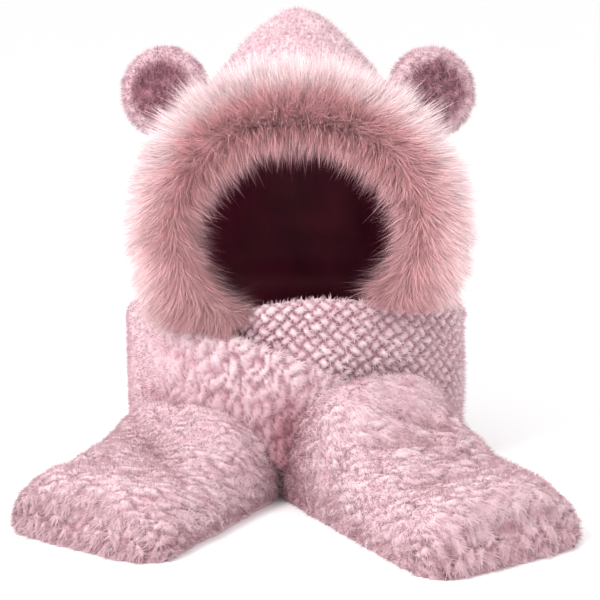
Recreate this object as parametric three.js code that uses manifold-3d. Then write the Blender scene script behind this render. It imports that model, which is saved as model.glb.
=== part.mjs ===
// A plush hood scarf with round animal ears, standing on a flat surface: a pointed knitted hood with
// a satin lining, a deep fur trim round the face, and a long scarf sewn to the hood's base, which
// goes round the neck, crosses in front and ends in two hand pockets that lie forward.
// Millimetres, +Z up, the face looks along -Y. Left and right are the viewer's, left is -X.

import * as THREE from "three";
import { mergeVertices } from "three/addons/utils/BufferGeometryUtils.js";
import Module from "manifold-3d";

const wasm = await Module();
wasm.setup();

// Driving dimensions

const seamGap = 0.4; // between two sewn pieces
const liningGap = 0.8; // between the hood and its lining
const layerGap = 4; // between the two layers of scarf where they cross

const scarfWidth = 165; // across the scarf round the neck, edge to edge
const scarfThick = 18; // of the plush scarf round the neck
const tailWidth = 176; // across the scarf where it lies on the surface
const tailThick = 17; // of the same scarf where it lies on the surface
const neckHalfWidth = 147; // inside of the neck hole, along X
const neckHalfDepth = 98; // inside of the neck hole, along Y

const hoodHeight = 290; // from the neck seam to the peak
const hoodHalfWidth = 136; // at the cheeks
const hoodHalfDepth = 128; // from the neck's centre to the back of the head
const hoodWall = 8;
const liningWall = 2;
const liningDrop = 50; // how far the lining hangs inside the scarf, below the neck seam
const faceCut = 75; // the hood's front edge is this far in front of the neck's centre

const trimHalfWidth = 122; // centre line of the fur trim, along X
const trimHalfHeight = 108; // the same, along Z
const trimCentreHeight = 252; // above the surface
const trimDepth = 97; // the trim's centre line is this far in front of the neck's centre
const trimLeftEnd = -147; // degrees from the top to each end of the trim
const trimRightEnd = 129;
const trimCore = 24; // radius of the backing that the fur is fixed to
const lockLength = 21; // how far a lock of fur stands out of the backing
const lockRadius = 15;

const earSpread = 126; // centre of each ear, along X
const earLevel = 373; // above the surface
const earForward = 44; // in front of the neck's centre
const earRadius = 41;
const earThick = 25;
const earBowl = 30; // radius of the inner ear
const earBowlDepth = 8;
const earInnerThick = 6;
const bowlLip = 1.5; // how far the bowl's edge lies below the pad's top
const bowlSlope = 5; // how far the bowl's wall leans in
const cushionRound = 3; // round edge of the inner ear
const earYaw = 14; // degrees that each ear turns outwards
const earLean = 8; // degrees that each ear tips back

const leftTailReach = 200; // from its root at the neck to the end
const leftTailYaw = 31.3; // degrees from straight ahead
const rightTailReach = 230;
const rightTailYaw = 31.7;
const pocketWall = 10;
const mouthGap = 6; // between the pockets' mouths and the scarf round the neck
const leftPocketHeight = 86; // above the surface, at the mouth
const rightPocketHeight = 118;

// Solids and meshes

function solidOf(geometry) {
  const bare = geometry.index ? geometry.toNonIndexed() : geometry.clone();
  bare.deleteAttribute("normal");
  bare.deleteAttribute("uv");
  const merged = mergeVertices(bare, 1e-4);
  const made = new wasm.Manifold(
    new wasm.Mesh({
      numProp: 3,
      vertProperties: new Float32Array(merged.attributes.position.array),
      triVerts: new Uint32Array(merged.index.array),
    }),
  );
  if (made.volume() >= 0) return made;
  const flipped = new Uint32Array(merged.index.array);
  for (let i = 0; i < flipped.length; i += 3) {
    const first = flipped[i];
    flipped[i] = flipped[i + 1];
    flipped[i + 1] = first;
  }
  return new wasm.Manifold(
    new wasm.Mesh({
      numProp: 3,
      vertProperties: new Float32Array(merged.attributes.position.array),
      triVerts: flipped,
    }),
  );
}

function geometryOf(manifold) {
  const mesh = manifold.getMesh();
  const places = new Float32Array(mesh.numVert * 3);
  for (let i = 0; i < mesh.numVert; i++) {
    places.set(mesh.vertProperties.subarray(i * mesh.numProp, i * mesh.numProp + 3), i * 3);
  }
  const geometry = new THREE.BufferGeometry();
  geometry.setAttribute("position", new THREE.BufferAttribute(places, 3));
  geometry.setIndex(new THREE.BufferAttribute(mesh.triVerts, 1));
  geometry.computeVertexNormals();
  return geometry;
}

// The largest body of a cut solid: a cut can leave a crumb behind.
function mainBody(manifold) {
  return manifold.decompose().sort((a, b) => b.volume() - a.volume())[0];
}

// A closed solid through rings of points, each ring with the same number of them.
function loft(rings) {
  const places = [];
  const faces = [];
  const count = rings[0].length;
  rings.flat().forEach((p) => places.push(p.x, p.y, p.z));
  for (let i = 0; i + 1 < rings.length; i++) {
    for (let j = 0; j < count; j++) {
      const k = (j + 1) % count;
      const [a, b, c, d] = [i * count + j, i * count + k, (i + 1) * count + k, (i + 1) * count + j];
      faces.push(a, b, c, a, c, d);
    }
  }
  [0, rings.length - 1].forEach((i) => {
    const centre = rings[i]
      .reduce((sum, p) => sum.add(p), new THREE.Vector3())
      .divideScalar(count);
    const tip = places.length / 3;
    places.push(centre.x, centre.y, centre.z);
    for (let j = 0; j < count; j++) {
      const k = (j + 1) % count;
      if (i === 0) faces.push(tip, i * count + k, i * count + j);
      else faces.push(tip, i * count + j, i * count + k);
    }
  });
  const geometry = new THREE.BufferGeometry();
  geometry.setAttribute("position", new THREE.Float32BufferAttribute(places, 3));
  geometry.setIndex(faces);
  return solidOf(geometry);
}

// A box from one corner to the other, as a cutter.
function block(low, high) {
  const size = high.clone().sub(low);
  const geometry = new THREE.BoxGeometry(size.x, size.y, size.z);
  const middle = low.clone().add(high).multiplyScalar(0.5);
  geometry.translate(middle.x, middle.y, middle.z);
  return solidOf(geometry);
}

const far = 1000; // reach of a cutter past the object
const simplifyBy = 0.15; // crumbs and steps smaller than this are smoothed away

const fullTurn = 360;
const radians = THREE.MathUtils.degToRad;

// A value of a table's column at a share of its length, on a smooth curve through the rows.
function along(rows, key, column, at) {
  let i = rows.findIndex((row) => row[key] >= at);
  if (i < 0) i = rows.length - 1;
  if (i === 0) return rows[0][column];
  const [b, c] = [rows[i - 1], rows[i]];
  const a = rows[i - 2] ?? b;
  const d = rows[i + 1] ?? c;
  const t = (at - b[key]) / (c[key] - b[key]);
  const span = c[key] - b[key];
  const slopeB = a === b ? 0 : ((c[column] - a[column]) / (c[key] - a[key])) * span;
  const slopeC = c === d ? 0 : ((d[column] - b[column]) / (d[key] - b[key])) * span;
  const t2 = t * t;
  const t3 = t2 * t;
  return (
    (2 * t3 - 3 * t2 + 1) * b[column] +
    (t3 - 2 * t2 + t) * slopeB +
    (3 * t2 - 2 * t3) * c[column] +
    (t3 - t2) * slopeC
  );
}

// Scarf

const neckWidth = 0.97; // of the section round the neck, as a share of the scarf's width
const neckMid = 0.476; // its middle, low enough for the lower edge to be pressed flat
const collarTop = scarfWidth * (neckMid + neckWidth / 2); // upper edge at the sides and the back

// A place on the scarf's centre line round the neck. turn is in degrees, 0 on the right and 90 at
// the back; layer 0 lies on the neck and layer 1 on top of layer 0.
function onCollar(turn, layer) {
  const out = scarfThick / 2 + layer * (scarfThick + layerGap);
  const a = radians(turn);
  return {
    x: (neckHalfWidth + out) * Math.cos(a),
    y: (neckHalfDepth + out) * Math.sin(a),
  };
}

// A tail runs from its root, given as shares of the neck hole, along its yaw.
const tails = {
  left: {
    root: { x: -0.57 * neckHalfWidth, y: -0.87 * neckHalfDepth },
    reach: leftTailReach,
    yaw: -leftTailYaw,
  },
  right: {
    root: { x: 0.385 * neckHalfWidth, y: -0.97 * neckHalfDepth },
    reach: rightTailReach,
    yaw: rightTailYaw,
  },
};

function onTail(side, share) {
  const { root, reach, yaw } = tails[side];
  return {
    x: root.x + Math.sin(radians(yaw)) * reach * share,
    y: root.y - Math.cos(radians(yaw)) * reach * share,
  };
}

// One row for each section of the scarf, from the end of the left tail to the end of the right.
// A row with a share lies on a tail and one with a turn lies round the neck. mid is the height of
// the section's middle and width its width, as shares of the scarf's width. lean is in degrees,
// 0 standing and 90 lying with the outer face up. bulk is the thickness, as a share of the
// scarf's.
const flat = tailThick / scarfThick;
const rest = tailThick / 2 / scarfWidth;
const wide = tailWidth / scarfWidth;
const scarfRows = [
  { side: "left", share: 0.97, mid: rest, width: wide * 0.84, lean: 90, bulk: flat * 0.9 },
  { side: "left", share: 0.92, mid: rest, width: wide * 0.94, lean: 90, bulk: flat },
  { side: "left", share: 0.5, mid: rest, width: wide * 0.94, lean: 90, bulk: flat },
  { side: "left", share: 0.3, mid: rest, width: wide * 0.92, lean: 90, bulk: flat },
  { side: "left", share: 0.15, mid: rest + 0.02, width: 0.76, lean: 86, bulk: flat },
  { turn: 229, layer: -0.35, mid: 0.25, width: 0.6, lean: 58, bulk: flat },
  { turn: 239, layer: -0.1, mid: 0.45, width: 0.74, lean: 26, bulk: 0.95 },
  { turn: 250, layer: 0, mid: 0.555, width: 0.92, lean: 8, bulk: 1 },
  { turn: 263, layer: 0, mid: 0.615, width: 0.96, lean: 3, bulk: 1 },
  { turn: 280, layer: 0, mid: 0.63, width: neckWidth, lean: 1, bulk: 1 },
  { turn: 303, layer: 0, mid: 0.605, width: neckWidth, lean: 0, bulk: 1 },
  { turn: 330, layer: 0, mid: 0.53, width: neckWidth, lean: 0, bulk: 1 },
  { turn: 360, layer: 0, mid: neckMid, width: neckWidth, lean: 0, bulk: 1 },
  { turn: 390, layer: 0, mid: neckMid, width: neckWidth, lean: 0, bulk: 1 },
  { turn: 420, layer: 0, mid: neckMid, width: neckWidth, lean: 0, bulk: 1 },
  { turn: 450, layer: 0, mid: neckMid, width: neckWidth, lean: 0, bulk: 1 },
  { turn: 480, layer: 0, mid: neckMid, width: neckWidth, lean: 0, bulk: 1 },
  { turn: 515, layer: 0, mid: neckMid, width: neckWidth, lean: 0, bulk: 1 },
  { turn: 545, layer: 0.15, mid: 0.52, width: 0.92, lean: 0, bulk: 1.05 },
  { turn: 565, layer: 0.6, mid: 0.6, width: 0.78, lean: 0, bulk: 1.1 },
  { turn: 585, layer: 0.95, mid: 0.63, width: 0.73, lean: 2, bulk: 1.15 },
  { turn: 605, layer: 1, mid: 0.595, width: 0.7, lean: 5, bulk: 1.2 },
  { turn: 622, layer: 1, mid: 0.52, width: 0.66, lean: 10, bulk: 1.2 },
  { turn: 640, layer: 1.05, mid: 0.41, width: 0.6, lean: 22, bulk: 1.15 },
  { side: "right", share: 0.22, mid: 0.27, width: 0.58, lean: 50, bulk: 1.05 },
  { side: "right", share: 0.38, mid: 0.13, width: 0.82, lean: 78, bulk: flat },
  { side: "right", share: 0.52, mid: rest, width: wide * 0.94, lean: 90, bulk: flat },
  { side: "right", share: 0.93, mid: rest, width: wide * 0.94, lean: 90, bulk: flat },
  { side: "right", share: 0.975, mid: rest, width: wide * 0.84, lean: 90, bulk: flat * 0.9 },
].map((row, station) => ({ ...row, station }));

const columns = ["turn", "layer", "share", "mid", "width", "lean", "bulk"];
const lastStation = scarfRows.length - 1;
const fineStep = 1 / 3;

// The rows with finer ones between them, each with its place.
const scarfSections = [];
for (let i = 0; i * fineStep <= lastStation + 1e-6; i++) {
  const station = i * fineStep;
  const before = scarfRows[Math.floor(station + 1e-6)];
  const after = scarfRows[Math.ceil(station - 1e-6)];
  const together = before.side === after.side;
  if (before !== after && !together) continue;
  const row = { station };
  columns.forEach((column) => {
    const known = scarfRows.filter((other) => column in other && other.side === before.side);
    if (known.length) row[column] = along(known, "station", column, station);
  });
  const place = before.side ? onTail(before.side, row.share) : onCollar(row.turn, row.layer);
  scarfSections.push({ ...row, ...place });
}

const stepsPerRow = 3;
const backStation = scarfRows.findIndex((row) => row.turn === 450); // behind the neck
const runOverlap = 0.02; // in stations, and so is near
const near = 0.02; // how far on and back the heading is taken
const sectionRound = 5; // points round each edge of a section

// The scarf's frame at a station: its middle, its direction across and its outward direction.
function scarfFrame(station) {
  const at = (column) => along(scarfSections, "station", column, station);
  const ahead = Math.min(lastStation, station + near);
  const behind = Math.max(0, station - near);
  const heading = new THREE.Vector2(
    along(scarfSections, "station", "x", ahead) - along(scarfSections, "station", "x", behind),
    along(scarfSections, "station", "y", ahead) - along(scarfSections, "station", "y", behind),
  ).normalize();
  const out = new THREE.Vector3(heading.y, -heading.x, 0);
  const up = new THREE.Vector3(0, 0, 1);
  const lean = radians(at("lean"));
  return {
    middle: new THREE.Vector3(at("x"), at("y"), at("mid") * scarfWidth),
    across: up.clone().multiplyScalar(Math.cos(lean)).addScaledVector(out, -Math.sin(lean)),
    outward: out.clone().multiplyScalar(Math.cos(lean)).addScaledVector(up, Math.sin(lean)),
    halfWidth: (at("width") * scarfWidth) / 2,
    halfThick: (at("bulk") * scarfThick) / 2,
  };
}

// A section with flat faces and round edges, grown by a clearance.
function scarfRing(station, grow) {
  const frame = scarfFrame(station);
  const half = frame.halfThick + grow;
  const reach = frame.halfWidth - frame.halfThick;
  const ring = [];
  [1, -1].forEach((edge) => {
    for (let i = 0; i < sectionRound; i++) {
      const a = Math.PI / 2 - (Math.PI * i) / (sectionRound - 1);
      const across = edge * (reach + half * Math.cos(a));
      const outward = edge * half * Math.sin(a);
      ring.push(
        frame.middle
          .clone()
          .addScaledVector(frame.across, across)
          .addScaledVector(frame.outward, outward),
      );
    }
  });
  return ring;
}

const underFloor = block(new THREE.Vector3(-far, -far, -far), new THREE.Vector3(far, far, 0));

// The scarf is joined from two runs that meet behind the neck.
function makeScarf(grow) {
  const run = (from, to) => {
    const steps = Math.round((to - from) * stepsPerRow);
    return loft(
      Array.from({ length: steps + 1 }, (_, i) => scarfRing(from + ((to - from) * i) / steps, grow)),
    );
  };
  return run(0, backStation).add(run(backStation - runOverlap, lastStation));
}

const scarfRoom = makeScarf(seamGap);
const scarf = mainBody(makeScarf(0).subtract(underFloor).simplify(simplifyBy));

// Hood

// One row for each level of the hood. level is the height above the neck seam as a share of the
// hood's height; side is the half width as a share of the hood's, and front and back are places
// along the depth as shares of the hood's half depth. The front is open below the brow.
const baseSide = (neckHalfWidth + scarfThick / 2 + hoodWall / 2) / hoodHalfWidth;
const baseDepth = (neckHalfDepth + scarfThick / 2 + hoodWall / 2) / hoodHalfDepth;
const hoodLevels = [
  { level: 0, side: baseSide, front: -baseDepth, back: baseDepth },
  { level: 0.1, side: 1.09, front: -0.92, back: 0.93 },
  { level: 0.25, side: 1.01, front: -0.95, back: 0.98 },
  { level: 0.42, side: 1.0, front: -0.96, back: 1.0 },
  { level: 0.56, side: 0.92, front: -0.93, back: 0.97 },
  { level: 0.68, side: 0.77, front: -0.82, back: 0.88 },
  { level: 0.78, side: 0.57, front: -0.64, back: 0.75 },
  { level: 0.87, side: 0.4, front: -0.38, back: 0.58 },
  { level: 0.94, side: 0.245, front: -0.12, back: 0.42 },
  { level: 0.985, side: 0.12, front: 0.06, back: 0.28 },
  { level: 1.0, side: 0.02, front: 0.15, back: 0.19 },
];
const hoodPoints = 28; // round each level
const leastHalf = 0.5; // of a level that an inset takes in
const peakInset = 1.2; // how far the peak comes down, as a share of the inset at the sides

// A closed dome through the levels: the hood's outside, taken in by inset all round.
function dome(levels, inset) {
  const rings = levels.map((row) => {
    const half = Math.max(leastHalf, row.side * hoodHalfWidth - inset);
    const middle = ((row.front + row.back) / 2) * hoodHalfDepth;
    const depth = Math.max(leastHalf, ((row.back - row.front) / 2) * hoodHalfDepth - inset);
    const rise = row.level > 0 ? hoodHeight - peakInset * inset : hoodHeight;
    const ring = [];
    for (let i = 0; i < hoodPoints; i++) {
      const a = (2 * Math.PI * i) / hoodPoints;
      ring.push(
        new THREE.Vector3(
          half * Math.cos(a),
          middle + depth * Math.sin(a),
          collarTop + seamGap + row.level * rise,
        ),
      );
    }
    return ring;
  });
  return loft(rings);
}

const beforeFace = block(
  new THREE.Vector3(-far, -far, -far),
  new THREE.Vector3(far, -faceCut, far),
);
const openBelow = { ...hoodLevels[0], level: -0.05 }; // past the neck seam, as a cutter
const hoodInside = dome([openBelow, ...hoodLevels], hoodWall);
const crown = mainBody(
  dome(hoodLevels, 0).subtract(hoodInside).subtract(beforeFace).subtract(scarfRoom),
);

// The lining follows the hood's inside and hangs down inside the scarf.
const hangSide = (neckHalfWidth + hoodWall - liningGap) / hoodHalfWidth;
const hangDepth = (neckHalfDepth + hoodWall - liningGap) / hoodHalfDepth;
const hang = { side: hangSide, front: -hangDepth, back: hangDepth };

function liningLevels(drop) {
  return [
    { ...hang, level: -drop / hoodHeight },
    { ...hang, level: 0 },
    ...hoodLevels.slice(1),
  ];
}
const liningInset = hoodWall + liningGap;
const liningOuter = dome(liningLevels(liningDrop), liningInset);
const liningInner = dome(liningLevels(liningDrop + liningWall), liningInset + liningWall);
const lining = mainBody(liningOuter.subtract(liningInner).subtract(beforeFace).subtract(scarfRoom));

// The space that the hood takes, with the seam gap round it.
const hoodRoom = dome([{ ...hoodLevels[0], level: -seamGap / hoodHeight }, ...hoodLevels], -seamGap);

// Fur trim

// The trim's centre line. turn is in degrees from the top, and grows to the right.
function onTrim(turn) {
  const a = radians(turn);
  return new THREE.Vector3(
    trimHalfWidth * Math.sin(a),
    -trimDepth,
    trimCentreHeight + trimHalfHeight * Math.cos(a),
  );
}

// Away from the middle of the face, in the trim's plane.
function trimOut(turn) {
  const a = radians(turn);
  return new THREE.Vector3(
    trimHalfHeight * Math.sin(a),
    0,
    trimHalfWidth * Math.cos(a),
  ).normalize();
}

const forward = new THREE.Vector3(0, -1, 0);

// A direction on the trim's round section: 0 looks forward, 90 away from the face, -90 into it.
function trimSide(turn, roll) {
  return forward
    .clone()
    .multiplyScalar(Math.cos(radians(roll)))
    .addScaledVector(trimOut(turn), Math.sin(radians(roll)));
}

function trimBacking() {
  const rings = [];
  const steps = 24;
  const sides = 8;
  for (let i = 0; i <= steps; i++) {
    const turn = trimLeftEnd + ((trimRightEnd - trimLeftEnd) * i) / steps;
    const ring = [];
    for (let j = 0; j < sides; j++) {
      ring.push(onTrim(turn).addScaledVector(trimSide(turn, (fullTurn * j) / sides), trimCore));
    }
    rings.push(ring);
  }
  return loft(rings);
}

const lockRoot = 0.55; // depth of a lock's root, as a share of the backing's radius
const lockDroop = 0.35; // how far a lock's tip bends, as a share of its length
const lockSwing = 7; // degrees that a lock turns from its row
const lockUneven = 0.14; // how much the locks of a row differ in length
const lockSink = 0.6; // how much a lock bends down, and how much it bends away from its row
const lockPart = 0.5;

// A tapered, curved lock of fur with its root inside the backing. bend is the way its tip droops.
function furLock(root, direction, bend, length, radius) {
  const sides = 5;
  const shape = [
    { share: 0, size: 0.95 },
    { share: 0.55, size: 0.85 },
    { share: 1, size: 0.02 },
  ];
  const side = new THREE.Vector3().crossVectors(direction, bend).normalize();
  const over = new THREE.Vector3().crossVectors(side, direction).normalize();
  return loft(
    shape.map(({ share, size }) => {
      const middle = root
        .clone()
        .addScaledVector(direction, length * share)
        .addScaledVector(bend, length * lockDroop * share * share);
      return Array.from({ length: sides }, (_, i) => {
        const a = (2 * Math.PI * i) / sides;
        return middle
          .clone()
          .addScaledVector(side, radius * size * Math.cos(a))
          .addScaledVector(over, radius * size * Math.sin(a));
      });
    }),
  );
}

// Rows of locks round the section. count is the number of locks in a row, and reach is their
// length as a share of lockLength.
const lockRows = [
  { roll: -76, count: 13, reach: 0.85 },
  { roll: -26, count: 15, reach: 0.95 },
  { roll: 28, count: 17, reach: 1.0 },
  { roll: 82, count: 19, reach: 1.0 },
];

function trimLocks() {
  const locks = [];
  lockRows.forEach(({ roll, count, reach }, row) => {
    for (let i = 0; i < count; i++) {
      const share = (i + (row % 2 ? 0.3 : 0.7)) / count;
      const turn = trimLeftEnd + share * (trimRightEnd - trimLeftEnd);
      const direction = trimSide(turn, roll + lockSwing * Math.sin(2.4 * i + row));
      const bend = new THREE.Vector3(0, 0, -lockSink);
      bend.addScaledVector(trimOut(turn), Math.sign(roll) * lockPart);
      const root = onTrim(turn).addScaledVector(direction, trimCore * lockRoot);
      const uneven = 1 + lockUneven * Math.sin(1.7 * i + 2 * row);
      const length = trimCore * (1 - lockRoot) + lockLength * reach * uneven;
      locks.push(furLock(root, direction, bend.normalize(), length, lockRadius));
    }
  });
  return locks;
}

const behindTrim = block(
  new THREE.Vector3(-far, -faceCut - seamGap, -far),
  new THREE.Vector3(far, far, far),
);
const trim = mainBody(
  wasm.Manifold.union([trimBacking(), ...trimLocks()])
    .subtract(behindTrim)
    .subtract(scarfRoom)
    .simplify(2 * simplifyBy),
);

// Ears

function turned(profile, steps) {
  return new THREE.LatheGeometry(
    profile.map(([r, h]) => new THREE.Vector2(r, h)),
    steps,
  );
}

const earSteps = 26;
const rimPoints = 6; // round the pad's edge
const rimFull = 0.9; // under 1, so that the edge is a little fuller than a half circle

// The ear's outer part: a round pad with a bowl in its front, turned about its own Y axis.
function earPad() {
  const half = earThick / 2;
  const profile = [[0, -half]];
  const rim = earRadius - half;
  for (let i = 1; i <= rimPoints; i++) {
    const a = -Math.PI / 2 + (Math.PI * i) / (rimPoints + 1);
    profile.push([rim + half * Math.cos(a) ** rimFull, half * Math.sin(a)]);
  }
  profile.push(
    [earBowl, half - bowlLip],
    [earBowl - bowlSlope, half - earBowlDepth],
    [0, half - earBowlDepth],
  );
  return turned(profile, earSteps);
}

// The inner ear: a shallow round cushion that lies in the bowl.
function earCushion() {
  const floor = earThick / 2 - earBowlDepth + seamGap;
  const edge = earBowl - bowlSlope - seamGap;
  return turned(
    [
      [0, floor],
      [edge - cushionRound / 2, floor],
      [edge, floor + earInnerThick * 0.2],
      [edge - cushionRound, floor + earInnerThick * 0.6],
      [edge * 0.55, floor + earInnerThick * 0.9],
      [0, floor + earInnerThick],
    ],
    earSteps,
  );
}

// Where an ear stands: side is -1 on the left and 1 on the right.
function earPlace(side) {
  const place = new THREE.Matrix4();
  place.makeTranslation(side * earSpread, -earForward, earLevel);
  place.multiply(new THREE.Matrix4().makeRotationZ(radians(side * earYaw)));
  place.multiply(new THREE.Matrix4().makeRotationX(Math.PI - radians(earLean)));
  return place;
}

function makeEar(side, geometry) {
  return mainBody(solidOf(geometry.applyMatrix4(earPlace(side))).subtract(hoodRoom));
}

// Pockets

// One row for each section of a pocket. reach runs from the closed end to the root of the tail,
// height is a share of the pocket's height and width a share of the tail's.
const pocketRows = {
  left: [
    { reach: 0, height: 0.28, width: 0.82 },
    { reach: 0.025, height: 0.48, width: 0.92 },
    { reach: 0.09, height: 0.62, width: 0.98 },
    { reach: 0.25, height: 0.67, width: 1.0 },
    { reach: 0.45, height: 0.7, width: 1.0 },
    { reach: 0.62, height: 0.81, width: 1.0 },
    { reach: 0.76, height: 1.0, width: 0.99 },
    { reach: 1.0, height: 1.0, width: 0.98 },
  ],
  right: [
    { reach: 0, height: 0.22, width: 0.82 },
    { reach: 0.025, height: 0.39, width: 0.92 },
    { reach: 0.09, height: 0.5, width: 0.98 },
    { reach: 0.28, height: 0.54, width: 1.0 },
    { reach: 0.48, height: 0.6, width: 1.0 },
    { reach: 0.65, height: 0.77, width: 1.0 },
    { reach: 0.8, height: 1.0, width: 0.99 },
    { reach: 1.0, height: 0.97, width: 0.98 },
  ],
};
const archPoints = 14;
const archSquare = 0.75; // under 1, so that an arch is fuller at its shoulders than an ellipse
const archFull = 0.85;
const hollowStart = 0.03; // where a pocket's hollow starts, as a share of its reach
const underCut = 1; // how far the cutters go below the surface

// An arch across a tail that stands on the level low and closes below it.
function pocketRing(side, share, height, half, low) {
  const place = onTail(side, share);
  const a = radians(tails[side].yaw);
  const ring = [];
  for (let i = 0; i <= archPoints; i++) {
    const turn = Math.PI * (i / archPoints);
    const across = half * Math.sign(Math.cos(turn)) * Math.abs(Math.cos(turn)) ** archSquare;
    const rise = low + (height - low) * Math.sin(turn) ** archFull;
    ring.push(
      new THREE.Vector3(place.x + Math.cos(a) * across, place.y + Math.sin(a) * across, rise),
    );
  }
  return ring;
}

function pocketDome(side, peak, inset, start, low) {
  return loft(
    pocketRows[side]
      .filter((row) => row.reach >= start)
      .map((row) =>
        pocketRing(
          side,
          1 - row.reach - inset / tails[side].reach,
          row.height * peak - inset,
          (row.width * tailWidth) / 2 - inset,
          low,
        ),
      ),
  );
}

const neckSteps = 48;

// What the pockets stop at: the scarf round the neck, with room for a hand to go in.
function roundNeck() {
  const layers = 2 * scarfThick + layerGap + mouthGap;
  const geometry = new THREE.CylinderGeometry(1, 1, far, neckSteps);
  geometry.rotateX(Math.PI / 2);
  geometry.scale(neckHalfWidth + layers, neckHalfDepth + layers, 1);
  return solidOf(geometry);
}

function makePocket(side, peak) {
  return pocketDome(side, peak, 0, 0, seamGap)
    .subtract(pocketDome(side, peak, pocketWall, hollowStart, -underCut))
    .subtract(roundNeck())
    .subtract(scarfRoom)
    .subtract(underFloor);
}

const leftPocket = mainBody(makePocket("left", leftPocketHeight));
const leftRoom = pocketDome("left", leftPocketHeight + seamGap, -seamGap, 0, -underCut);
const rightPocket = mainBody(makePocket("right", rightPocketHeight).subtract(leftRoom));

// Materials and assembly

function plush(color, roughness) {
  return new THREE.MeshStandardMaterial({ color, roughness, metalness: 0 });
}

const pinkPlush = plush(0xd9a5b0, 0.95);
const furPink = plush(0xc9928f, 0.9);
const mauvePlush = plush(0x9c6472, 0.95);
const burgundySatin = plush(0x360c18, 0.6);

const hoodScarf = new THREE.Group();

function addPiece(name, manifold, material) {
  const mesh = new THREE.Mesh(geometryOf(manifold), material);
  mesh.name = name;
  hoodScarf.add(mesh);
}

addPiece("hood_crown", crown, pinkPlush);
addPiece("hood_lining", lining, burgundySatin);
addPiece("fur_trim", trim, furPink);
addPiece("scarf", scarf, pinkPlush);
[
  ["left", -1],
  ["right", 1],
].forEach(([name, side]) => {
  addPiece("ear_" + name, makeEar(side, earPad()), pinkPlush);
  addPiece("ear_" + name + "_inner", makeEar(side, earCushion()), mauvePlush);
});
addPiece("pocket_left", leftPocket, pinkPlush);
addPiece("pocket_right", rightPocket, pinkPlush);

// The origin is under the middle of the object, on the surface that it stands on.
const extent = new THREE.Box3().setFromObject(hoodScarf);
const centre = extent.getCenter(new THREE.Vector3());
hoodScarf.position.set(-centre.x, -centre.y, -extent.min.z);

export default hoodScarf;
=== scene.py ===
"""A plush animal hood scarf: knitted-fur hood and scarf, round ears and a deep fur trim.

Lengths are in millimetres from the middle of the neck hole, +Z up and the face towards -Y, and
become metres in the row frame where a mesh is made. Left is the viewer's left, -X.
"""

import math

import bmesh
import bpy
import numpy as np
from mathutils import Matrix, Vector


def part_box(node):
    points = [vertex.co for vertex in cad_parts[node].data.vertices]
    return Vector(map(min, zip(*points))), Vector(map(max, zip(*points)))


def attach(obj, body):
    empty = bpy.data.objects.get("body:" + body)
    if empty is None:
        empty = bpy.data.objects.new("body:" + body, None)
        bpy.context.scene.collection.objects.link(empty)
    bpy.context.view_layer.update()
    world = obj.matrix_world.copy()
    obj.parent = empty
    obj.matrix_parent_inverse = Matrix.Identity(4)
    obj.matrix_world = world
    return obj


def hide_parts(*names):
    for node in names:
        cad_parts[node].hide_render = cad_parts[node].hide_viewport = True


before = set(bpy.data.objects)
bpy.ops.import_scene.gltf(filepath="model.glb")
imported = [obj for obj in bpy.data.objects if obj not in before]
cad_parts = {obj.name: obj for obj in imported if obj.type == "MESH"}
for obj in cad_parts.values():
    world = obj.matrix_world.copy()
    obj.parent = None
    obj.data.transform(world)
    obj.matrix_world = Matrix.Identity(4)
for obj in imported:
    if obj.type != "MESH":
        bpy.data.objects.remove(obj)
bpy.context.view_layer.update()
rng = np.random.default_rng(11)

# Sizes of the object

SCARF_WIDTH, SCARF_THICK = 165.0, 18.0
TAIL_WIDTH, TAIL_THICK = 176.0, 17.0
LAYER_GAP = 4.0
NECK_HALF_WIDTH, NECK_HALF_DEPTH = 147.0, 98.0
NECK_SHARE, NECK_MID = 0.97, 0.476
COLLAR_TOP = SCARF_WIDTH * (NECK_MID + NECK_SHARE / 2)
HOOD_HEIGHT, HOOD_HALF_WIDTH, HOOD_HALF_DEPTH = 290.0, 136.0, 128.0
HOOD_WALL, LINING_DROP = 8.0, 50.0
FACE_CUT = 75.0
TRIM_HALF_WIDTH, TRIM_HALF_HEIGHT, TRIM_CENTRE, TRIM_DEPTH = 122.0, 108.0, 252.0, 97.0
TRIM_LEFT_END, TRIM_RIGHT_END = -147.0, 129.0
EAR_SPREAD, EAR_LEVEL, EAR_FORWARD = 126.0, 373.0, 44.0
EAR_RADIUS, EAR_THICK, EAR_YAW, EAR_LEAN = 41.0, 25.0, 14.0, 8.0
POCKET_WALL, MOUTH_GAP = 10.0, 6.0
TAILS = {
    "left": {"root": (-0.57, -0.87), "reach": 200.0, "yaw": -31.3, "peak": 86.0},
    "right": {"root": (0.385, -0.97), "reach": 230.0, "yaw": 31.7, "peak": 118.0},
}

lining_low, lining_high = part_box("hood_lining")
crown_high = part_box("hood_crown")[1]
ORIGIN = np.array(
    [(lining_low.x + lining_high.x) / 2, crown_high.y - HOOD_HALF_DEPTH / 1000, 0.0]
)

# Colours, linear

TIP_PINK = np.array([0.71, 0.545, 0.58])
BODY_PINK = np.array([0.62, 0.43, 0.475])
# painted shade between the tufts of the plush
CREVICE_SHADE = np.array([0.36, 0.135, 0.185])
FUR_PALE = np.array([0.98, 0.85, 0.865])
FUR_ROSE = np.array([0.70, 0.37, 0.39])
FUR_ROOT = np.array([0.47, 0.225, 0.235])
# the ear's bowl: the plush in painted shade
EAR_BOWL_SHADE = np.array([0.30, 0.12, 0.16])
SATIN_RED = np.array([0.17, 0.018, 0.045])

# how fast each colour falls where the plush is in shade
DEEPER = np.array([0.7, 1.2, 1.1])

# Noise: octaves, how much finer and weaker each is, and what brings the sum to about 1
WAVE_OCTAVES, WAVE_FINER, WAVE_WEAKER, WAVE_SUM = 3, 1.9, 1.7, 4.5
WARP_LENGTH = 38.0

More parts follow.
